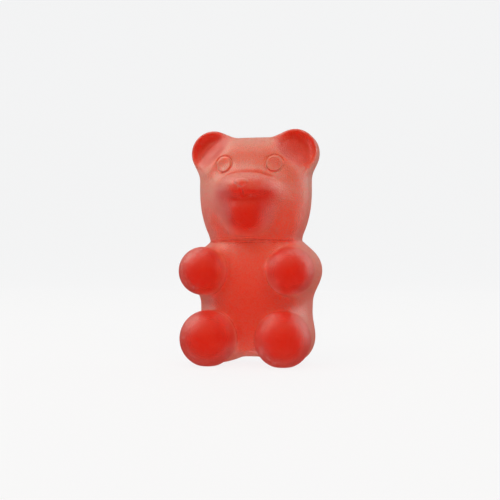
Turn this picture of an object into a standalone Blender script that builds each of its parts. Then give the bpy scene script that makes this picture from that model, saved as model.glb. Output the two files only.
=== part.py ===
"""A gummy bear: one piece of cast fruit jelly, stood upright on its feet.

The sweet is poured into a mould, so its back is flat and all its relief is in
front: a head with two dished ears, a muzzle over a small jaw, round hands and
larger round feet. It is modelled in millimetres, as lobes that are fused, and
turned into metres at the end. X runs across the bear, Y from its face (low) to
its flat back (high), and Z up from the undersides of its feet.
"""

import bmesh
import bpy
import numpy as np
from mathutils import Matrix, Vector

# Driving sizes of the whole bear
HEIGHT = 21.85
DEPTH = 8.75
NECK_HEIGHT = 11.45
HEAD_SUNK = 1.2
BACK = DEPTH / 2
FLAT_SPOT = 0.04
TORSO_BOTTOM = 0.7

# Radii of round lobes
LEG_RADIUS = 2.33
ARM_RADIUS = 2.14
WRIST_RADIUS = 2.02
HAND_RADIUS = 2.18
FOOT_RADIUS = 2.56
EAR_RADIUS = 2.12

# Radii of other lobes as (across, deep, up), with a lower radius where the bottom is longer or shorter
TORSO_RADII = (5.38, 4.9, 8.1)
TORSO_LOWER = 7.2
SKULL_RADII = (5.3, 3.75, 4.95)
SKULL_LOWER = 7.3
TEMPLE_RADII = (2.75, 2.05, 1.75)
SOCKET_RADII = (1.5, 1.4, 1.25)
EAR_RADII = (EAR_RADIUS, 2.75, EAR_RADIUS)
EAR_HOLLOW_RADII = (2.15, 2.0, 2.15)
CHEEKS_RADII = (3.9, 3.25, 2.8)
MUZZLE_RADII = (2.95, 3.3, 1.6)
MUZZLE_LOWER = 1.2
LIPS_RADII = (2.2, 3.0, 1.3)
LIPS_LOWER = 1.2
JAW_RADII = (1.9, 2.6, 1.35)
JAW_LOWER = 2.0
EYE_RADII = (0.8, 0.48, 0.76)
NOSE_RADII = (0.6, 0.62, 0.42)

# Squareness of outlines (face) and of edges: 2 is round, more is squarer
TORSO_FACE = 2.3
TORSO_EDGE = 2.2
FOREHEAD_FACE = 3.6
CHIN_FACE = 2.15
SKULL_EDGE = 2.8
MUZZLE_FACE = 2.3
MUZZLE_EDGE = 2.7
EAR_EDGE = 5.0
EYE_EDGE = 4.0

# Places as (across, off the back, up)
TORSO = (0.0, 0.6, 6.0)
HIP = (3.2, 0.2, 2.4)
ANKLE = (3.42, 5.6, 2.48)
SHOULDER = (4.1, 0.2, 8.75)
WRIST = (4.08, 5.2, 8.65)
FOOT = (3.44, DEPTH - FOOT_RADIUS, FOOT_RADIUS)
HAND = (4.07, 5.75, 8.65)
SKULL = (0.0, 1.2, 16.3)
EAR = (3.9, 0.0, HEIGHT - EAR_RADIUS)
EAR_HOLLOW = (3.95, 3.8, 19.75)
TEMPLE = (4.5, 4.7, 20.33)
TEMPLE_TILT = 45.0
SOCKET = (2.75, 5.85, 18.3)
CHEEKS = (0.0, 3.7, 15.7)
MUZZLE = (0.0, 4.2, 16.15)
LIPS = (0.0, 4.9, 16.1)
JAW = (0.0, 4.6, 14.0)
EYE = (2.37, 4.32, 18.43)
NOSE = (0.0, 7.5, 16.4)

# Fineness of each kind of lobe as (rows, columns)
SOFT_LOBE = (32, 48)
BIG_LOBE = (48, 72)
LIMB_BALL = (24, 40)
HAND_BALL = (20, 30)
FOOT_BALL = (22, 34)
EYE_LOBE = (16, 24)
NOSE_LOBE = (12, 20)

# Fineness of the fused surfaces
VOXEL = 0.11
TRUNK_TRIANGLES = 3600
FACE_TRIANGLES = 9000
HEAD_TRIANGLES = 4600
SOFTENING_PASSES = 22
FACE_SOFTENING_PASSES = 50
WIDE = 14.0
MM = 0.001

JELLY_RED = (0.60, 0.05, 0.03, 1.0)
JELLY_ROUGHNESS = 0.5
CREASE_ANGLE = 38.0


def to_frame(point):
    """A place given as (across, off the back, up) in the model's own X, Y, Z."""
    across, off_back, up = point
    return Vector((across, DEPTH / 2 - off_back, up))


def new_object(name, mesh):
    piece = bpy.data.objects.new(name, mesh)
    bpy.context.scene.collection.objects.link(piece)
    return piece


def lobe(name, centre, radii, face=2.0, edge=2.0, fineness=SOFT_LOBE, lower=None, lower_face=None, tilt=0.0):
    """A rounded block: (|x/a|^q + |z/c|^q)^(p/q) + |y/b|^p = 1.

    q is how square its outline is from the front, p how square its edge is, and
    lower and lower_face another height and squareness below its centre. Each
    direction of a unit sphere is pushed out until its point meets the formula,
    turned by the tilt in degrees about Y, and what would pass through the flat back
    is pressed level with it.
    """
    shape = bmesh.new()
    rows, columns = fineness
    bmesh.ops.create_uvsphere(shape, u_segments=columns, v_segments=rows, radius=1.0)
    middle = to_frame(centre)
    turn = Matrix.Rotation(np.radians(tilt), 3, "Y")
    across, deep, up = radii
    for vertex in shape.verts:
        way = vertex.co.normalized()
        below = way.z < 0
        tall = lower if lower and below else up
        square = lower_face if lower_face and below else face
        front = abs(way.x / across) ** square + abs(way.z / tall) ** square
        reach = front ** (edge / square) + abs(way.y / deep) ** edge
        vertex.co = middle + turn @ (way * reach ** (-1.0 / edge))
        vertex.co.y = min(vertex.co.y, BACK)
    mesh = bpy.data.meshes.new(name)
    shape.to_mesh(mesh)
    shape.free()
    return new_object(name, mesh)


def limb(name, root, end, root_radius, end_radius):
    """A stub arm or leg: the hull of a ball at each end."""
    shape = bmesh.new()
    rows, columns = LIMB_BALL
    for place, radius in ((root, root_radius), (end, end_radius)):
        at = Matrix.Translation(to_frame(place))
        bmesh.ops.create_uvsphere(shape, u_segments=columns, v_segments=rows, radius=radius, matrix=at)
    hull = bmesh.ops.convex_hull(shape, input=shape.verts)
    inside = {piece for piece in hull["geom_interior"] if isinstance(piece, bmesh.types.BMVert)}
    bmesh.ops.delete(shape, geom=list(inside), context="VERTS")
    for vertex in shape.verts:
        vertex.co.y = min(vertex.co.y, BACK)
    mesh = bpy.data.meshes.new(name)
    shape.to_mesh(mesh)
    shape.free()
    return new_object(name, mesh)


def slab(name, low, high):
    """A plain block between two corners, used for cutting."""
    shape = bmesh.new()
    bmesh.ops.create_cube(shape, size=1.0)
    low, high = Vector(low), Vector(high)
    size = high - low
    for vertex in shape.verts:
        vertex.co = (low + high) / 2 + Vector(a * b for a, b in zip(vertex.co, size))
    mesh = bpy.data.meshes.new(name)
    shape.to_mesh(mesh)
    shape.free()
    return new_object(name, mesh)


def both_sides(name, place, make):
    """The left and the right copy of a paired lobe."""
    pair = []
    for side, word in ((-1, "left"), (1, "right")):
        mirrored = (side * place[0], place[1], place[2])
        pair.append(make(f"{word}_{name}", mirrored, side))
    return pair


def apply_modifiers(piece):
    """Keeps a piece's shape as its modifiers leave it."""
    graph = bpy.context.evaluated_depsgraph_get()
    finished = bpy.data.meshes.new_from_object(piece.evaluated_get(graph))
    piece.modifiers.clear()
    piece.data = finished


def discard(pieces):
    for piece in pieces:
        bpy.data.objects.remove(piece)


def fuse(name, lobes, triangles, passes=SOFTENING_PASSES):
    """One soft body out of several lobes, with smooth hollows between them."""
    shape = bmesh.new()
    for piece in lobes:
        shape.from_mesh(piece.data)
    mesh = bpy.data.meshes.new(name)
    shape.to_mesh(mesh)
    shape.free()
    discard(lobes)
    body = new_object(name, mesh)
    skin = body.modifiers.new("one skin", "REMESH")
    skin.mode = "VOXEL"
    skin.voxel_size = VOXEL
    soft = body.modifiers.new("soft edges", "SMOOTH")
    soft.factor = 0.5
    soft.iterations = passes
    apply_modifiers(body)
    fewer = body.modifiers.new("fewer faces", "DECIMATE")
    faces = sum(len(face.vertices) - 2 for face in body.data.polygons)
    fewer.ratio = triangles / faces
    fewer.use_symmetry = True
    fewer.symmetry_axis = "X"
    apply_modifiers(body)
    return body


def combine(body, others, operation):
    """Joins the others to the body, or cuts them from it."""
    group = bpy.data.collections.new("operands")
    for piece in others:
        group.objects.link(piece)
    cut = body.modifiers.new("combine", "BOOLEAN")
    cut.operation = operation
    cut.operand_type = "COLLECTION"
    cut.collection = group
    cut.solver = "EXACT"
    apply_modifiers(body)
    discard(others)
    bpy.data.collections.remove(group)


def make_trunk():
    """Torso with its stub arms and legs, level on top where the head sits."""
    torso = lobe("torso", TORSO, TORSO_RADII, TORSO_FACE, TORSO_EDGE, BIG_LOBE, TORSO_LOWER)
    above = slab("above the neck", (-WIDE, -WIDE, NECK_HEIGHT), (WIDE, WIDE, HEIGHT))
    below = slab("under the torso", (-WIDE, -WIDE, -WIDE), (WIDE, WIDE, TORSO_BOTTOM))
    combine(torso, [above, below], "DIFFERENCE")
    legs = both_sides("leg", HIP, lambda word, place, side: limb(
        word, place, (side * ANKLE[0], ANKLE[1], ANKLE[2]), LEG_RADIUS, LEG_RADIUS))
    arms = both_sides("arm", SHOULDER, lambda word, place, side: limb(
        word, place, (side * WRIST[0], WRIST[1], WRIST[2]), ARM_RADIUS, WRIST_RADIUS))
    return fuse("trunk", [torso] + legs + arms, TRUNK_TRIANGLES)


def make_face():
    """Skull with its eye sockets and cheeks, and a step at each temple."""
    skull = lobe("skull", SKULL, SKULL_RADII, FOREHEAD_FACE, SKULL_EDGE, BIG_LOBE, SKULL_LOWER, CHIN_FACE)
    below = slab("below the neck", (-WIDE, -WIDE, -WIDE), (WIDE, WIDE, NECK_HEIGHT - HEAD_SUNK))
    sockets = both_sides("socket", SOCKET, lambda word, place, side: lobe(word, place, SOCKET_RADII))
    combine(skull, sockets + [below], "DIFFERENCE")
    cheeks = lobe("cheeks", CHEEKS, CHEEKS_RADII)
    face = fuse("face", [skull, cheeks], FACE_TRIANGLES, FACE_SOFTENING_PASSES)
    combine(face, both_sides("temple", TEMPLE, lambda word, place, side: lobe(
        word, place, TEMPLE_RADII, tilt=side * TEMPLE_TILT)), "DIFFERENCE")
    return face


def make_head():
    """The face with its muzzle, lips and jaw, and an ear with a hollow pressed into it on each side."""
    ears = both_sides("ear", EAR, lambda word, place, side: lobe(word, place, EAR_RADII, edge=EAR_EDGE))
    dishes = both_sides("hollow", EAR_HOLLOW, lambda word, place, side: lobe(word, place, EAR_HOLLOW_RADII))
    for ear, dish in zip(ears, dishes):
        combine(ear, [dish], "DIFFERENCE")
    muzzle = lobe("muzzle", MUZZLE, MUZZLE_RADII, face=MUZZLE_FACE, edge=MUZZLE_EDGE, lower=MUZZLE_LOWER)
    lips = lobe("lips", LIPS, LIPS_RADII, face=MUZZLE_FACE, edge=MUZZLE_EDGE, lower=LIPS_LOWER)
    jaw = lobe("jaw", JAW, JAW_RADII, lower=JAW_LOWER)
    return fuse("head", [make_face(), muzzle, lips, jaw] + ears, HEAD_TRIANGLES)


def make_bear():
    """The whole bear: soft trunk and head, with the crisp-edged lobes set into them."""
    bear = make_trunk()
    crisp = [make_head()]
    crisp += both_sides("hand", HAND, lambda word, place, side: lobe(
        word, place, (HAND_RADIUS,) * 3, fineness=HAND_BALL))
    crisp += both_sides("foot", FOOT, lambda word, place, side: lobe(
        word, place, (FOOT_RADIUS,) * 3, fineness=FOOT_BALL))
    crisp += both_sides("eye", EYE, lambda word, place, side: lobe(
        word, place, EYE_RADII, edge=EYE_EDGE, fineness=EYE_LOBE))
    crisp.append(lobe("nose", NOSE, NOSE_RADII, fineness=NOSE_LOBE))
    combine(bear, crisp, "UNION")
    floor = slab("floor", (-WIDE, -WIDE, -WIDE), (WIDE, WIDE, FLAT_SPOT))
    behind = slab("mould top", (-WIDE, BACK - FLAT_SPOT, -WIDE), (WIDE, WIDE, HEIGHT * 2))
    combine(bear, [floor, behind], "DIFFERENCE")
    bear.name = "gummy_bear"
    return bear


def jelly():
    """Frosted red jelly."""
    material = bpy.data.materials.new("red jelly")
    material.use_nodes = True
    shader = material.node_tree.nodes["Principled BSDF"]
    shader.inputs["Base Color"].default_value = JELLY_RED
    shader.inputs["Roughness"].default_value = JELLY_ROUGHNESS
    shader.inputs["Metallic"].default_value = 0.0
    return material


def settle(bear):
    """Centres the bear on its frame, stands it on Z = 0 and turns millimetres into metres."""
    points = np.array([vertex.co for vertex in bear.data.vertices])
    low, high = points.min(axis=0), points.max(axis=0)
    middle = (low + high) / 2
    bear.data.transform(Matrix.Translation((-middle[0], -middle[1], -low[2])))
    bear.data.transform(Matrix.Scale(MM, 4))
    bear.data.shade_smooth()
    bear.data.set_sharp_from_angle(angle=np.radians(CREASE_ANGLE))


for leftover in list(bpy.data.objects):
    bpy.data.objects.remove(leftover)
sweet = make_bear()
settle(sweet)
sweet.data.materials.clear()
sweet.data.materials.append(jelly())
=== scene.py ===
"""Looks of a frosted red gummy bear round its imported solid. Sizes are millimetres until a mesh is made."""
import math

import bpy
import numpy as np
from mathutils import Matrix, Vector


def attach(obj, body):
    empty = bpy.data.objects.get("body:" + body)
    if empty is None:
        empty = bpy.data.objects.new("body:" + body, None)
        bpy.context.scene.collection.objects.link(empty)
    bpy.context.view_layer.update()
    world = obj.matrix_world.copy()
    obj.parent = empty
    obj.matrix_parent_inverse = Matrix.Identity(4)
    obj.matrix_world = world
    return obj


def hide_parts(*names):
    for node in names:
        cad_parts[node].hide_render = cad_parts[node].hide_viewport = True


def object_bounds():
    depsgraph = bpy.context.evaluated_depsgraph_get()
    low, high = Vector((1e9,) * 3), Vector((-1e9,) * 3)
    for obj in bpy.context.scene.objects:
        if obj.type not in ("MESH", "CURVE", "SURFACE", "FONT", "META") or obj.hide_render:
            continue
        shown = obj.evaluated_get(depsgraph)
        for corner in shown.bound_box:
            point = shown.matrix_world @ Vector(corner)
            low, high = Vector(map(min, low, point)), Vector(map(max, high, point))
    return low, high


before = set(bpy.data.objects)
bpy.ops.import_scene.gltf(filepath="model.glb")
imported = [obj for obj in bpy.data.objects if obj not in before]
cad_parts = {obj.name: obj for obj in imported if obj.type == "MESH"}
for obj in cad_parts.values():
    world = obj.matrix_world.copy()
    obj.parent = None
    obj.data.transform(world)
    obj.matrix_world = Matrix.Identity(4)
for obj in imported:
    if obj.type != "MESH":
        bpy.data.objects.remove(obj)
cad_low, cad_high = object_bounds()
MM = 0.001


# The jelly
# One piece of gelatine and fruit jelly, poured into an open mould: everything stands off a flat back.
# Its form is a set of lobes that run into each other, some with a soft fillet, some with a crease.
NECK_HEIGHT = 11.45


def join(a, b, fillet):
    """Union of two forms as distances: the lower one, rounded where they are within a fillet of each other."""
    near = np.maximum(fillet - np.abs(a - b), 0.0) / fillet
    return np.minimum(a, b) - near * near * fillet * 0.25


def cut(a, b, edge):
    """Form a without form b: the higher of a and minus b, with the new edge rounded."""
    return -join(-a, b, edge)


def lobe(across, off_back, up, centre, radii, face=2.0, edge=2.0, lower=None):
    """Distance to a rounded lobe, as how far its size is from one, over the slope of its size.

    Its size is got in two steps: x and z, each over its radius, are raised to the power face,
    added and rooted; that and y over its radius are then put together by the power edge.
    """
    tall = radii[2] if lower is None else np.where(up < centre[2], lower, radii[2])
    x = np.abs(across - centre[0]) / radii[0]
    y = np.abs(off_back - centre[1]) / radii[1]
    z = np.abs(up - centre[2]) / tall
    flat = (x**face + z**face + 1e-12) ** (1 / face)
    size = (flat**edge + y**edge + 1e-12) ** (1 / edge)
    slope = (x / flat) ** (2 * face - 2) / radii[0] ** 2 + (z / flat) ** (2 * face - 2) / tall**2
    slope = (flat / size) ** (2 * edge - 2) * slope + (y / size) ** (2 * edge - 2) / radii[1] ** 2
    return (size - 1) / np.sqrt(slope + 1e-9)


def limb(across, off_back, up, root, tip, root_radius, tip_radius):
    """Distance to a stub limb: from the nearest point on the line root to tip, less the radius there."""
    root, tip = np.array(root), np.array(tip)
    way = tip - root
    part = (across - root[0]) * way[0] + (off_back - root[1]) * way[1] + (up - root[2]) * way[2]
    part = np.clip(part / (way @ way), 0, 1)
    x, y, z = (value - start - part * step for value, start, step in zip((across, off_back, up), root, way))
    return np.sqrt(x * x + y * y + z * z) - (root_radius + (tip_radius - root_radius) * part)


def trunk(x, y, z):
    """Torso, stub legs and arms with soft fillets, level at the neck; feet and hands set in with a crease."""
    form = lobe(x, y, z, (0, 0.6, 6.0), (5.34, 4.9, 8.1), face=2.3, edge=2.2, lower=7.2)
    form = cut(form, z - 0.74, 1.0)
    form = join(form, limb(x, y, z, (3.2, 0, 2.36), (3.42, 5.4, 2.46), 2.30, 2.3), 1.1)
    form = join(form, limb(x, y, z, (4.13, 0, 8.75), (4.13, 5.4, 8.65), 2.1, 2.06), 1.3)
    form = cut(form, NECK_HEIGHT - z, 0.12)
    form = join(form, lobe(x, y, z, (3.44, 6.18, 2.56), (2.56, 2.56, 2.56)), 0.22)
    return join(form, lobe(x, y, z, (4.05, 5.75, 8.65), (2.17, 2.18, 2.18)), 0.22)


def head(x, y, z):
    """Skull with a temple ridge over each ear's dish, and eye sockets; then the muzzle, jaw and nose."""
    square = np.where(z > 16.3, 3.6, 2.15)
    form = lobe(x, y, z, (0, 1.2, 16.3), (5.28, 3.7, 4.92), face=square, edge=2.7, lower=7.3)
    form = join(form, lobe(x, y, z, (0, 0.8, NECK_HEIGHT), (4.26, 3.66, 0.75), face=2.3, edge=2.4), 0.5)
    along = (z - 19.73 - x + 3.9) * math.sqrt(0.5)
    outward = (z - 19.73 + x - 3.9) * math.sqrt(0.5)
    form = cut(form, lobe(along, y, outward, (0, 4.7, 0.85), (2.75, 2.05, 1.72)), 0.9)
    form = cut(form, lobe(x, y, z, (2.75, 5.85, 18.3), (1.5, 1.4, 1.25)), 0.7)
    ear = np.sqrt((x - 3.9) ** 2 + (z - 19.73) ** 2) - 2.12
    ear = cut(ear, 2.65 - y, 0.4)
    ear = cut(ear, lobe(x, y, z, (3.95, 3.75, 19.75), (2.12, 1.95, 2.12)), 0.2)
    form = join(form, ear, 0.8)
    form = join(form, lobe(x, y, z, (0, 3.7, 15.7), (3.4, 3.1, 2.4), edge=2.2), 1.2)
    form = join(form, lobe(x, y, z, (0, 4.6, 14.0), (2.0, 2.6, 1.35), face=2.2, edge=2.4, lower=2.1), 1.2)
    crisp_on_top = 0.06 + 0.5 * np.clip((17.3 - z) / 0.8, 0, 1)
    muzzle = lobe(x, y, z, (0, 4.2, 16.15), (2.8, 3.2, 1.55), face=2.3, edge=2.6, lower=1.2)
    crease = 0.2 * np.exp(-(((form - muzzle) / 0.14) ** 2)) * np.clip((z - 16.9) / 0.3, 0, 1)
    form = join(form, muzzle, crisp_on_top) + crease
    form = join(form, lobe(x, y, z, (0, 4.9, 16.1), (2.1, 2.9, 1.25), face=2.3, edge=2.6, lower=1.15), 0.3)
    taper = 1 + 0.8 * np.clip(z - 16.3, -1.0, 1.0)
    form = join(form, lobe(x / taper, y, z, (0, 7.5, 16.4), (0.58, 0.66, 0.44)), 0.05)
    return form - face_marks(x, y, z)


def face_marks(x, y, z):
    """How far the small marks stand off the face: domed eyes in a groove, and the groove below the nose."""
    reach = np.sqrt((x - 2.37) ** 2 + (z - 18.43) ** 2) / 0.73
    eye = 0.12 * np.clip((1.03 - reach) / 0.12, 0, 1) + 0.07 * np.clip(1 - reach**2, 0, 1)
    eye = eye - 0.1 * np.exp(-(((reach - 1.08) / 0.1) ** 2))
    groove = 0.17 * np.exp(-((x / 0.12) ** 2)) * np.exp(-(((z - 15.6) / 0.32) ** 4)) * (y > 6)
    return eye - groove


def bear(points):
    """Distance from each point to the whole bear: head sunk into trunk, flat behind, level under the feet."""
    x, y, z = np.abs(points[..., 0]), points[..., 1], points[..., 2]
    form = join(trunk(x, y, z), cut(head(x, y, z), z - NECK_HEIGHT + 1.0, 0.3), 0.1)
    neck = 0.15 * np.exp(-(((z - NECK_HEIGHT + 0.1) / 0.11) ** 2))
    neck = neck - 0.05 * np.exp(-(((z - NECK_HEIGHT - 0.14) / 0.1) ** 2))
    form = form + neck * np.clip((y - 2.2) / 1.2, 0, 1)
    form = cut(form, y, 0.7)
    return cut(form, z - 0.03, 0.2)


SLOPE_STEP = 0.004
LEAST_STEEP = 0.2
LONGEST_MOVE = 0.3


def settle(points, rounds):
    """Newton's method on the distance: each point goes back along the slope by the distance it is off."""
    for _ in range(rounds):
        here = bear(points)
        slope = np.stack([bear(points + np.eye(3)[axis] * SLOPE_STEP) - here for axis in range(3)], axis=-1)
        slope = slope / SLOPE_STEP
        steep = np.maximum((slope * slope).sum(axis=-1), LEAST_STEEP)
        move = slope * (here / steep)[..., None]
        length = np.linalg.norm(move, axis=-1, keepdims=True)
        points = points - move * np.minimum(1.0, LONGEST_MOVE / np.maximum(length, 1e-9))
    return points


WIDE_STEP = 0.135
FINE_STEP = 0.085


def ticks(low, high, fine_low, fine_high):
    """Places of the lattice's planes along one axis: fine between two places, wider on each side."""
    before = np.linspace(low, fine_low, max(2, round((fine_low - low) / WIDE_STEP)))
    within = np.linspace(fine_low, fine_high, max(2, round((fine_high - fine_low) / FINE_STEP)))
    after = np.linspace(fine_high, high, max(2, round((high - fine_high) / WIDE_STEP)))
    return np.concatenate([before[:-1], within, after[1:]])


def lattice_skin(across, off_back, up):
    """Closed net of four-sided faces where the distance changes sign on a lattice of points.

    Each cell with corners on both sides of the skin gets one point, and each lattice edge
    that passes through the skin gets the face between the four cells round it.
    """
    lattice = np.stack(np.meshgrid(across, off_back, up, indexing="ij"), axis=-1)
    inside = bear(lattice) < 0
    ends = (slice(None, -1), slice(1, None))
    full = sum(inside[a, b, c].astype(int) for a in ends for b in ends for c in ends)
    mixed = (full > 0) & (full < 8)
    number = np.full(mixed.shape, -1)
    number[mixed] = np.arange(mixed.sum())
    points = (lattice[:-1, :-1, :-1][mixed] + lattice[1:, 1:, 1:][mixed]) / 2
    faces = []
    for order in ((0, 1, 2), (1, 2, 0), (2, 0, 1)):
        state, cells = inside.transpose(order), number.transpose(order)
        near, far = state[:-1, 1:-1, 1:-1], state[1:, 1:-1, 1:-1]
        corners = [cells[:, :-1, :-1], cells[:, 1:, :-1], cells[:, 1:, 1:], cells[:, :-1, 1:]]
        around = np.stack(corners, axis=-1)
        faces += [around[near & ~far], around[far & ~near][:, ::-1]]
    return points, np.concatenate(faces)


def even_out(points, faces, rounds):
    """Each point goes to the mean of the middles of the faces round it, then back onto the bear."""
    corners = faces.ravel()
    shares = np.bincount(corners, minlength=len(points))[:, None]
    for _ in range(rounds):
        middles = np.repeat(points[faces].mean(axis=1), 4, axis=0)
        sums = [np.bincount(corners, middles[:, axis], minlength=len(points)) for axis in range(3)]
        points = settle(np.stack(sums, axis=-1) / shares, 1)
    return points


# Where the lattice begins and ends along each axis, and where its fine planes do, round the face.
ACROSS = (-6.5, 6.5, -3.4, 3.4)
OFF_BACK = (-0.3, 9.2, 4.5, 8.0)
UP = (-0.3, 22.2, 14.5, 19.4)


def bear_skin():
    """The lattice's net, settled onto the bear and evened out."""
    points, faces = lattice_skin(ticks(*ACROSS), ticks(*OFF_BACK), ticks(*UP))
    points = even_out(settle(points, 2), faces, 4)
    return settle(points, 1), faces


INSIDE_BOX = 0.9995


def into_frame(points):
    """Millimetres off the back into the model's own metres, drawn in where they are proud of the solid's box.

    This mirrors Y, and the faces keep the order of their corners, so after it they point inwards.
    """
    placed = np.stack([points[:, 0], -points[:, 1], points[:, 2]], axis=-1) * MM
    low, high = placed.min(axis=0), placed.max(axis=0)
    room = np.array(cad_high) - np.array(cad_low)
    scale = np.minimum(1.0, INSIDE_BOX * room / (high - low))
    middle = (np.array(cad_high) + np.array(cad_low)) / 2
    placed = (placed - (low + high) / 2) * scale + middle
    placed[:, 2] += cad_low[2] - placed[:, 2].min()
    return placed


def mesh_object(name, points, faces):
    """A mesh object at the origin from whole arrays of points and four-sided faces."""
    mesh = bpy.data.meshes.new(name)
    mesh.vertices.add(len(points))
    mesh.vertices.foreach_set("co", points.ravel())
    mesh.loops.add(faces.size)
    mesh.loops.foreach_set("vertex_index", faces.ravel())
    mesh.polygons.add(len(faces))
    mesh.polygons.foreach_set("loop_start", np.arange(len(faces)) * 4)
    mesh.update(calc_edges=True)
    mesh.validate()
    mesh.shade_smooth()
    piece = bpy.data.objects.new(name, mesh)
    bpy.context.scene.collection.objects.link(piece)
    return piece


skin_points, skin_faces = bear_skin()
jelly_bear = mesh_object("jelly_bear", into_frame(skin_points), skin_faces)


# The reds and the pale colour below carry painted light: a shaded red for the ear dishes, a deep red for thick
# jelly and a brighter red for thin jelly as painted shade and glow, and a pale painted sheen.
DISH_SHADE_RED = (0.66, 0.022, 0.004, 1.0)
THICK_SHADED_RED = (0.70, 0.015, 0.002, 1.0)
THIN_GLOWING_RED = (0.98, 0.038, 0.005, 1.0)
PAINTED_SHEEN_PINK = (0.78, 0.24, 0.165, 1.0)
WARM_SHINE = (1.0, 0.75, 0.5, 1.0)
THROUGH_RED = (0.999, 0.15, 0.02, 1.0)
SCATTER_REACH = 2.5 * MM
GRAIN_SIZE = 0.13 * MM
GRAIN_HEIGHT = 0.1 * MM
# Ear dishes, eyes, hands and feet get less of the painted sheen: each one's middle, two distances from it,
# and the share of the painted sheen that is left within the nearer one.
LESS_SHEEN_SPOTS = (
    ((4.0 * MM, 1.9 * MM, 20.1 * MM), 1.6 * MM, 2.7 * MM, 0.14),
    ((2.37 * MM, -0.65 * MM, 18.43 * MM), 0.5 * MM, 1.0 * MM, 0.4),
    ((4.05 * MM, -1.4 * MM, 8.65 * MM), 2.25 * MM, 2.9 * MM, 0.0),
    ((3.44 * MM, -1.82 * MM, 2.56 * MM), 2.6 * MM, 3.5 * MM, 0.0),
)


def ranged(tree, source, low, high, at_low, at_high):
    """A value that goes smoothly from at_low to at_high while the source goes from low to high."""
    node = tree.nodes.new("ShaderNodeMapRange")
    node.interpolation_type = "SMOOTHSTEP"
    for name, value in (("From Min", low), ("From Max", high), ("To Min", at_low), ("To Max", at_high)):
        node.inputs[name].default_value = value
    tree.links.new(source, node.inputs["Value"])
    return node.outputs["Result"]


def combined(tree, first, second, operation="MULTIPLY"):
    """Two values made one: their product, or what another operation makes of them."""
    node = tree.nodes.new("ShaderNodeMath")
    node.operation = operation
    tree.links.new(first, node.inputs[0])
    tree.links.new(second, node.inputs[1])
    return node.outputs["Value"]


def away_from(tree, place, spot, near, far, at_near):
    """A value that rises to 1 between two distances from a spot."""
    gap = tree.nodes.new("ShaderNodeVectorMath")
    gap.operation = "DISTANCE"
    gap.inputs[1].default_value = spot
    tree.links.new(place, gap.inputs[0])
    return ranged(tree, gap.outputs["Value"], near, far, at_near, 1.0)


def mix_colours(tree, factor, first, second):
    """The first colour where the factor is 0, the second where it is 1; each a colour or an output."""
    node = tree.nodes.new("ShaderNodeMix")
    node.data_type = "RGBA"
    sockets = [socket for socket in node.inputs if socket.enabled]
    for socket, value in zip(sockets, (factor, first, second)):
        if isinstance(value, tuple):
            socket.default_value = value
        else:
            tree.links.new(value, socket)
    return [socket for socket in node.outputs if socket.enabled][0]


def jelly_colour(tree, place, speckle):
    """Painted light: deep red where the jelly stands thick and clear red where thin, as painted shade and
    glow; a darker red in the ear dishes as painted shade; and a pale painted sheen on the brow and cheeks.
    """
    mirrored = tree.nodes.new("ShaderNodeVectorMath")
    mirrored.operation = "ABSOLUTE"
    tree.links.new(place, mirrored.inputs[0])
    halves = mirrored.outputs["Vector"]
    parts = tree.nodes.new("ShaderNodeSeparateXYZ")
    tree.links.new(place, parts.inputs["Vector"])
    # Painted shade and glow: jelly near the flat back counts as thin and is painted a bright, lit red, while
    # parts standing forward are painted deep red, as though less light came through them.
    thin = ranged(tree, parts.outputs["Y"], -2.4 * MM, 0.0, 0.08, 1.0)
    high = ranged(tree, parts.outputs["Z"], 13.0 * MM, 18.0 * MM, 0.55, 1.05)
    speckled = ranged(tree, speckle, 0.3, 0.7, 0.55, 1.4)
    snout = ranged(tree, parts.outputs["Z"], 15.5 * MM, 16.1 * MM, 0.0, 0.5)
    # Painted sheen: a pale colour where the jelly is thin, more of it high on the head and round the snout,
    # speckled at random.
    painted_sheen = combined(tree, combined(tree, combined(tree, thin, high), snout, "MAXIMUM"), speckled)
    for spot, near, far, least in LESS_SHEEN_SPOTS:
        painted_sheen = combined(tree, painted_sheen, away_from(tree, halves, spot, near, far, least))
    # Painted shade: the ear dishes are painted a darker red, as though shadowed in their hollows.
    off_dish = away_from(tree, halves, *LESS_SHEEN_SPOTS[0])
    body = mix_colours(tree, off_dish, DISH_SHADE_RED, mix_colours(tree, thin, THICK_SHADED_RED, THIN_GLOWING_RED))
    return mix_colours(tree, painted_sheen, body, PAINTED_SHEEN_PINK)


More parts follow.
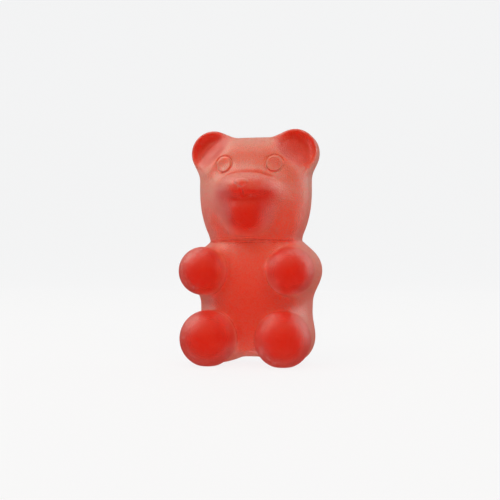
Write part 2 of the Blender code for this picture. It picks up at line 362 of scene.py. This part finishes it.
def frosted_jelly():
    """Jelly that light enters and scatters in, under a finely frosted skin; it takes up green and blue."""
    material = bpy.data.materials.new("frosted red jelly")
    material.use_nodes = True
    tree = material.node_tree
    shader = tree.nodes["Principled BSDF"]
    shader.inputs["Subsurface Weight"].default_value = 1.0
    shader.inputs["Subsurface Radius"].default_value = (1.0, 0.1, 0.05)
    shader.inputs["Subsurface Scale"].default_value = SCATTER_REACH
    shader.inputs["Roughness"].default_value = 0.42
    shader.inputs["IOR"].default_value = 1.38
    shader.inputs["Specular IOR Level"].default_value = 0.17
    shader.inputs["Specular Tint"].default_value = WARM_SHINE
    shader.inputs["Sheen Weight"].default_value = 0.03
    shader.inputs["Sheen Tint"].default_value = WARM_SHINE
    shader.inputs["Sheen Roughness"].default_value = 0.45
    shader.inputs["Transmission Weight"].default_value = 0.4
    absorption = tree.nodes.new("ShaderNodeVolumeAbsorption")
    absorption.inputs["Color"].default_value = THROUGH_RED
    absorption.inputs["Density"].default_value = 1200.0
    tree.links.new(absorption.outputs["Volume"], tree.nodes["Material Output"].inputs["Volume"])
    place = tree.nodes.new("ShaderNodeTexCoord")
    grain = tree.nodes.new("ShaderNodeTexNoise")
    grain.inputs["Scale"].default_value = 1.0 / GRAIN_SIZE
    grain.inputs["Detail"].default_value = 2.0
    tree.links.new(place.outputs["Object"], grain.inputs["Vector"])
    # The base colour carries painted shade, a painted glow through thin jelly and a painted sheen.
    colour = jelly_colour(tree, place.outputs["Object"], grain.outputs["Fac"])
    tree.links.new(colour, shader.inputs["Base Color"])
    bump = tree.nodes.new("ShaderNodeBump")
    bump.inputs["Strength"].default_value = 0.5
    bump.inputs["Distance"].default_value = GRAIN_HEIGHT
    tree.links.new(grain.outputs["Fac"], bump.inputs["Height"])
    tree.links.new(bump.outputs["Normal"], shader.inputs["Normal"])
    return material


jelly_bear.data.materials.append(frosted_jelly())
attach(jelly_bear, "root")
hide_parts("gummy_bear")


# The backdrop
# A pale sheet of card that the bear stands on, curving up behind it without an edge.
# It glows by itself and reflects little, so that it stays an even pale grey.
CARD_COLOUR = (0.07, 0.07, 0.07, 1.0)
CARD_GLOW = (0.992, 1.0, 1.008, 1.0)
CARD_GLOW_STRENGTH = 0.845


def backdrop():
    """A floor that turns up into a wall: a straight run, a quarter circle and a rise, swept sideways."""
    front, reach, bend, rise, half = -0.6, 0.45, 0.12, 0.5, 0.8
    arc = np.linspace(0, math.pi / 2, 24)
    run = np.concatenate([[front], reach - bend + bend * np.sin(arc), [reach]])
    height = np.concatenate([[0.0], bend - bend * np.cos(arc), [rise]])
    side = np.linspace(-half, half, 3)
    grid = np.stack(np.broadcast_arrays(side[None, :], run[:, None], height[:, None]), axis=-1)
    number = np.arange(grid.shape[0] * grid.shape[1]).reshape(grid.shape[:2])
    corners = [number[:-1, :-1], number[:-1, 1:], number[1:, 1:], number[1:, :-1]]
    faces = np.stack(corners, axis=-1).reshape(-1, 4)
    card = mesh_object("backdrop", grid.reshape(-1, 3), faces)
    material = bpy.data.materials.new("pale card")
    material.use_nodes = True
    shader = material.node_tree.nodes["Principled BSDF"]
    shader.inputs["Base Color"].default_value = CARD_COLOUR
    shader.inputs["Roughness"].default_value = 0.9
    shader.inputs["Emission Color"].default_value = CARD_GLOW
    shader.inputs["Emission Strength"].default_value = CARD_GLOW_STRENGTH
    card.data.materials.append(material)
    card.visible_glossy = False
    return card


backdrop()


# The soft boxes
# Three cloth-fronted panels: a broad one in front and above, a smaller one on the bear's right
# and a weak low one on its left. They are warm, because colder light makes the jelly's sheen pink.
WARM_WHITE = (1.0, 0.88, 0.78)
LIT_MIDDLE = (0, 0, 0.012)


def soft_box(name, place, width, height, radiance):
    """A flat panel of even brightness: its power is radiance times pi times its area."""
    lamp = bpy.data.lights.new(name, "AREA")
    lamp.shape = "RECTANGLE"
    lamp.size, lamp.size_y = width, height
    lamp.energy = radiance * math.pi * width * height
    lamp.color = WARM_WHITE
    light = bpy.data.objects.new(name, lamp)
    light.location = place
    light.rotation_euler = (Vector(LIT_MIDDLE) - Vector(place)).to_track_quat("-Z", "Y").to_euler()
    bpy.context.scene.collection.objects.link(light)


soft_box("key box", (0.02, -0.30, 0.28), 0.60, 0.40, 1.85)
soft_box("left box", (-0.26, -0.06, 0.28), 0.26, 0.26, 0.9)
soft_box("side box", (0.30, 0.10, 0.06), 0.25, 0.25, 0.35)


# The air of the room
# Light from all round, brighter overhead than underfoot. The eye itself sees it as the card's grey,
# so that no darker band shows past the card.
CARD_GREY = (0.905, 0.905, 0.905, 1.0)
AIR_ABOVE = 0.5
AIR_BELOW = 0.03
AIR_RANGE = (-0.05, 0.8)


def studio_air():
    """Warm air, brighter overhead than underfoot, that the eye itself sees as the card's pale grey."""
    world = bpy.data.worlds.new("studio air")
    world.use_nodes = True
    tree = world.node_tree
    way = tree.nodes.new("ShaderNodeTexCoord")
    parts = tree.nodes.new("ShaderNodeSeparateXYZ")
    strength = tree.nodes.new("ShaderNodeMapRange")
    strength.inputs["From Min"].default_value = AIR_RANGE[0]
    strength.inputs["From Max"].default_value = AIR_RANGE[1]
    strength.inputs["To Min"].default_value = AIR_BELOW
    strength.inputs["To Max"].default_value = AIR_ABOVE
    tree.links.new(way.outputs["Generated"], parts.inputs["Vector"])
    tree.links.new(parts.outputs["Z"], strength.inputs["Value"])
    warm = mix_colours(tree, strength.outputs["Result"], (0.0, 0.0, 0.0, 1.0), (*WARM_WHITE, 1.0))
    ray = tree.nodes.new("ShaderNodeLightPath")
    seen = mix_colours(tree, ray.outputs["Is Camera Ray"], warm, CARD_GREY)
    tree.links.new(seen, tree.nodes["Background"].inputs["Color"])
    return world


bpy.context.scene.world = studio_air()
bpy.context.scene.view_settings.view_transform = "Standard"


# The camera
# A little to the bear's left and level with its tummy,
# at the distance that the photograph's perspective gives.
CAMERA_SIDE = math.radians(12.0)
CAMERA_RISE = math.radians(-1.3)
CAMERA_DISTANCE = 0.0888
FRAME_WIDTH = 0.0459
SENSOR = 36.0
AIM_OFF_BACK = 4.0
AIM_HEIGHT = 10.5
DEPTH = (cad_high[1] - cad_low[1]) / MM
aim = Vector((0.0, (DEPTH / 2 - AIM_OFF_BACK) * MM, AIM_HEIGHT * MM))
away = Vector((math.sin(CAMERA_SIDE) * math.cos(CAMERA_RISE), -math.cos(CAMERA_SIDE) * math.cos(CAMERA_RISE),
               math.sin(CAMERA_RISE)))
camera_data = bpy.data.cameras.new("camera")
camera_data.sensor_width = SENSOR
camera_data.lens = SENSOR * CAMERA_DISTANCE / FRAME_WIDTH
camera_data.clip_start = 0.005
camera = bpy.data.objects.new("camera", camera_data)
camera.location = aim + away * CAMERA_DISTANCE
camera.rotation_euler = away.to_track_quat("Z", "Y").to_euler()
bpy.context.scene.collection.objects.link(camera)
bpy.context.scene.camera = camera
